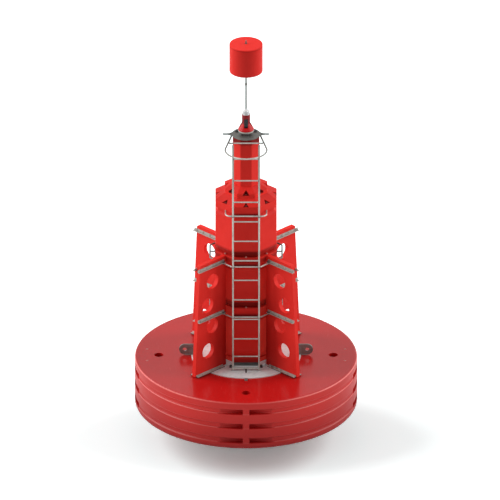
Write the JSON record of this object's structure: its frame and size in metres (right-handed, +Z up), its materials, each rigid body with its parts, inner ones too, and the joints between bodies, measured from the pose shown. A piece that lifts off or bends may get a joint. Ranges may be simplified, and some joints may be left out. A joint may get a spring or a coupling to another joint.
{
  "type": "navigation buoy",
  "caption": "Lighted navigation buoy: round grooved float, eight-sided daymark tower with pierced radial fins, ladder with guard hoop, lantern and can topmark, on a ballasted tail.",
  "frame": {"origin": "centre of the foot plate's underside, on the ground, on the float's axis", "axes": "+Z up along the float's axis, -Y towards the ladder, +X to the right of the picture"},
  "size_m": [2.9998, 2.9998, 5.819],
  "materials": {
    "float_plastic": "moulded polyethylene, slightly bleached red, satin",
    "tower_plastic": "moulded polyethylene, saturated red, satin",
    "topmark_plastic": "moulded polyethylene, red, satin",
    "lantern_plastic": "glossy red housing",
    "lens_plastic": "clear moulded lens",
    "cell_glass": "black solar cells under glass",
    "galvanised_steel": "hot-dip galvanised, dull grey",
    "dark_steel": "galvanised plate, weathered dark grey",
    "bright_steel": "stainless steel, fine satin",
    "ballast_iron": "cast iron, dark paint"
  },
  "bodies": {
    "root": {"float_body": "float_plastic", "core_tube": "galvanised_steel", "base_ring": "galvanised_steel", "deck_ring": "galvanised_steel", "tail_gussets": "galvanised_steel", "ballast_discs": "ballast_iron", "foot_plate": "galvanised_steel", "mooring_eyes": "dark_steel", "lifting_eye_right": "dark_steel", "lifting_eye_left": "dark_steel", "tower_collar": "galvanised_steel", "tower_base": "tower_plastic", "tower_module_1": "tower_plastic", "tower_module_2": "tower_plastic", "tower_module_3": "tower_plastic", "tower_roof": "tower_plastic", "upper_tower": "tower_plastic", "top_plate": "dark_steel", "fin_front_left": "tower_plastic", "fin_front_right": "tower_plastic", "fin_back_left": "tower_plastic", "fin_back_right": "tower_plastic", "fin_foot_rails": "galvanised_steel", "fin_rails_lower": "galvanised_steel", "fin_rails_upper": "galvanised_steel", "tie_bars_lower": "galvanised_steel", "tie_bars_upper": "galvanised_steel", "tie_bar_top": "galvanised_steel", "ladder_stiles": "galvanised_steel", "ladder_rungs": "galvanised_steel", "guard_hoop": "galvanised_steel", "hoop_crossbar": "galvanised_steel", "lantern_spacers": "bright_steel", "lantern_body": "lantern_plastic", "lantern_cells": "cell_glass", "lantern_lens": "lens_plastic", "topmark_pole": "bright_steel", "topmark_collar": "bright_steel", "topmark_can": "topmark_plastic", "topmark_knob": "bright_steel"}
  },
  "joints": []
}
